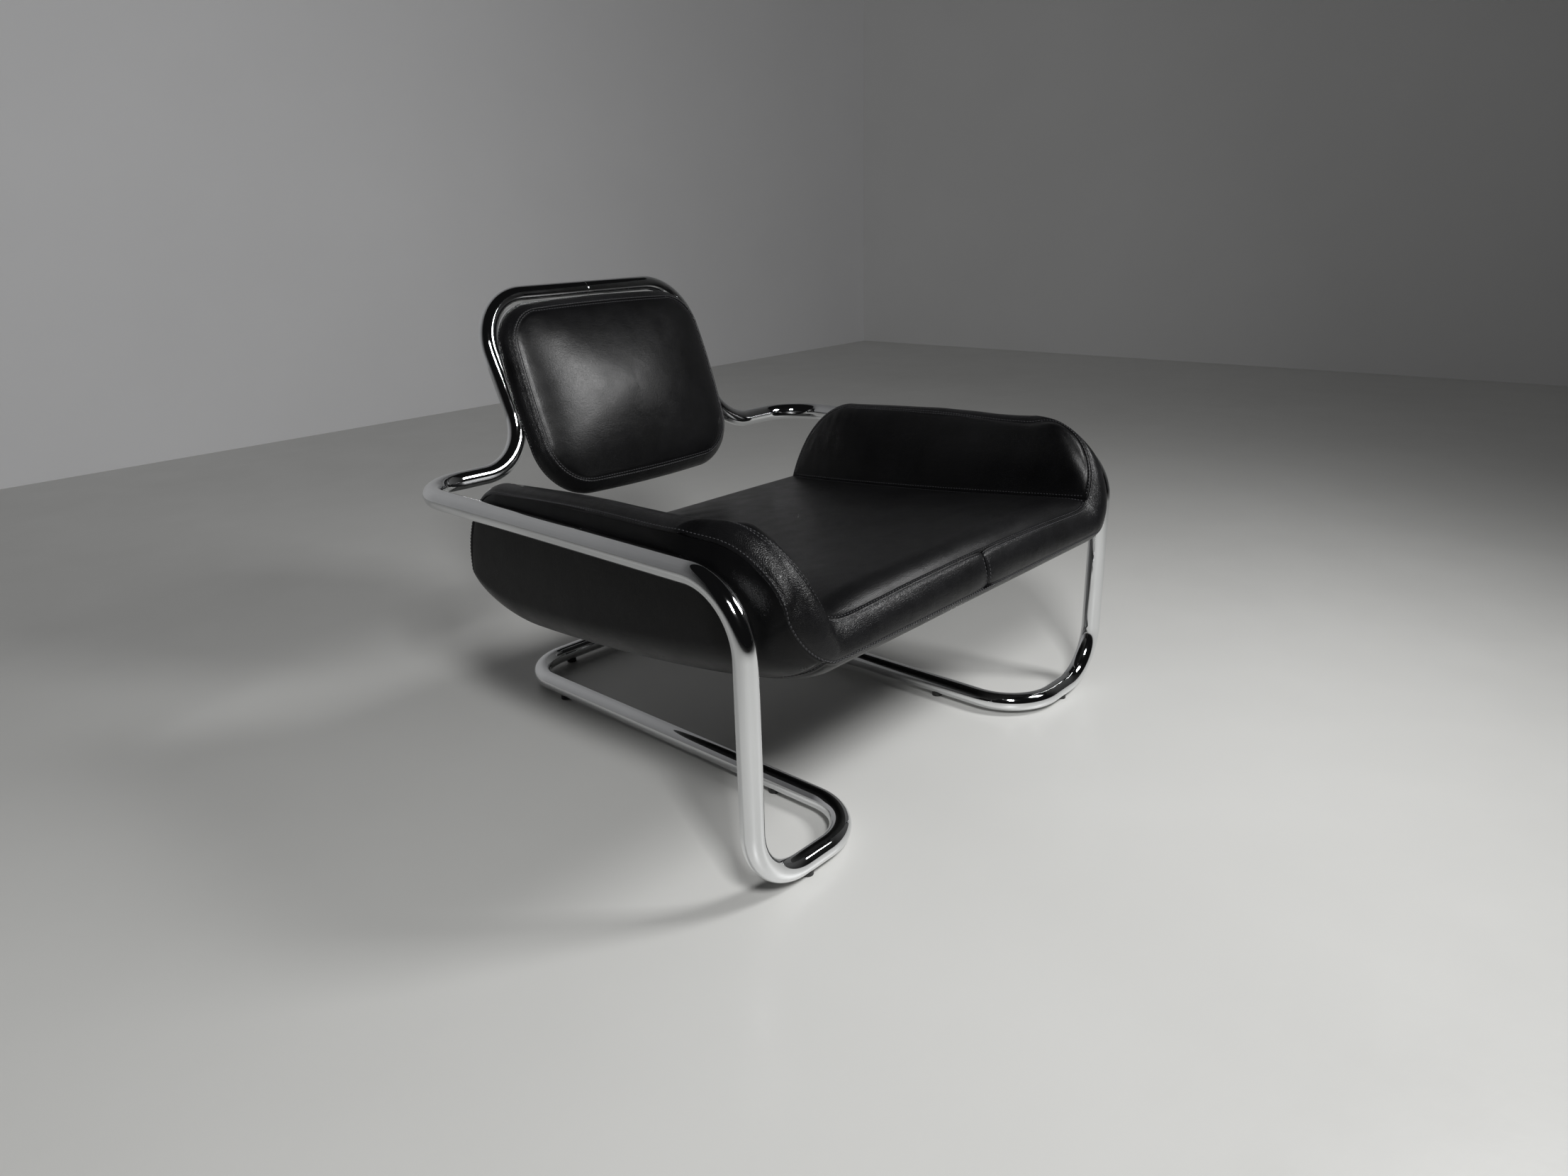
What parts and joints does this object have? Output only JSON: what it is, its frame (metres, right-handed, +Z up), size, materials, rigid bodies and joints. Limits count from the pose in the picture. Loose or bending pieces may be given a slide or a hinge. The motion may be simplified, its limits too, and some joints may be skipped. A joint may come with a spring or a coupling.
{
  "type": "cantilever lounge chair",
  "caption": "Low lounge chair: a bent chrome tube loop on floor runners carries an upholstered bucket seat between its arms and a separate small back pad.",
  "frame": {"origin": "on the floor, under the centre of the bounding box", "axes": "+Z up, -Y the way a sitter faces, +X to the left of the sitter"},
  "size_m": [0.825, 0.802, 0.6437],
  "materials": {
    "chrome": "mirror polished",
    "leather": "satin, fine grain",
    "plywood": "raw, hidden",
    "steel": "plain",
    "glide_black": "matte"
  },
  "bodies": {
    "root": {"side_loop_left": "chrome", "side_loop_right": "chrome", "upright_left": "chrome", "upright_right": "chrome", "top_rail_left": "chrome", "top_rail_right": "chrome", "top_joint_plug": "steel", "base_joint_plug": "steel", "front_glide_left": "glide_black", "front_glide_right": "glide_black", "runner_front_glide_left": "glide_black", "runner_front_glide_right": "glide_black", "runner_rear_glide_left": "glide_black", "runner_rear_glide_right": "glide_black", "rear_glide_left": "glide_black", "rear_glide_right": "glide_black", "seat_shell": "plywood", "seat_panel": "leather", "wing_panel_left": "leather", "wing_panel_right": "leather", "seat_bottom_cover": "leather", "side_panel_left": "leather", "side_panel_right": "leather", "edge_band_left": "leather", "edge_band_right": "leather", "seat_bolts": "steel", "seat_spacers": "steel", "seat_inserts": "steel", "back_board": "plywood", "back_cushion": "leather", "back_band": "leather", "back_rear_cover": "leather", "back_tabs": "chrome", "back_screws": "steel"}
  },
  "joints": []
}
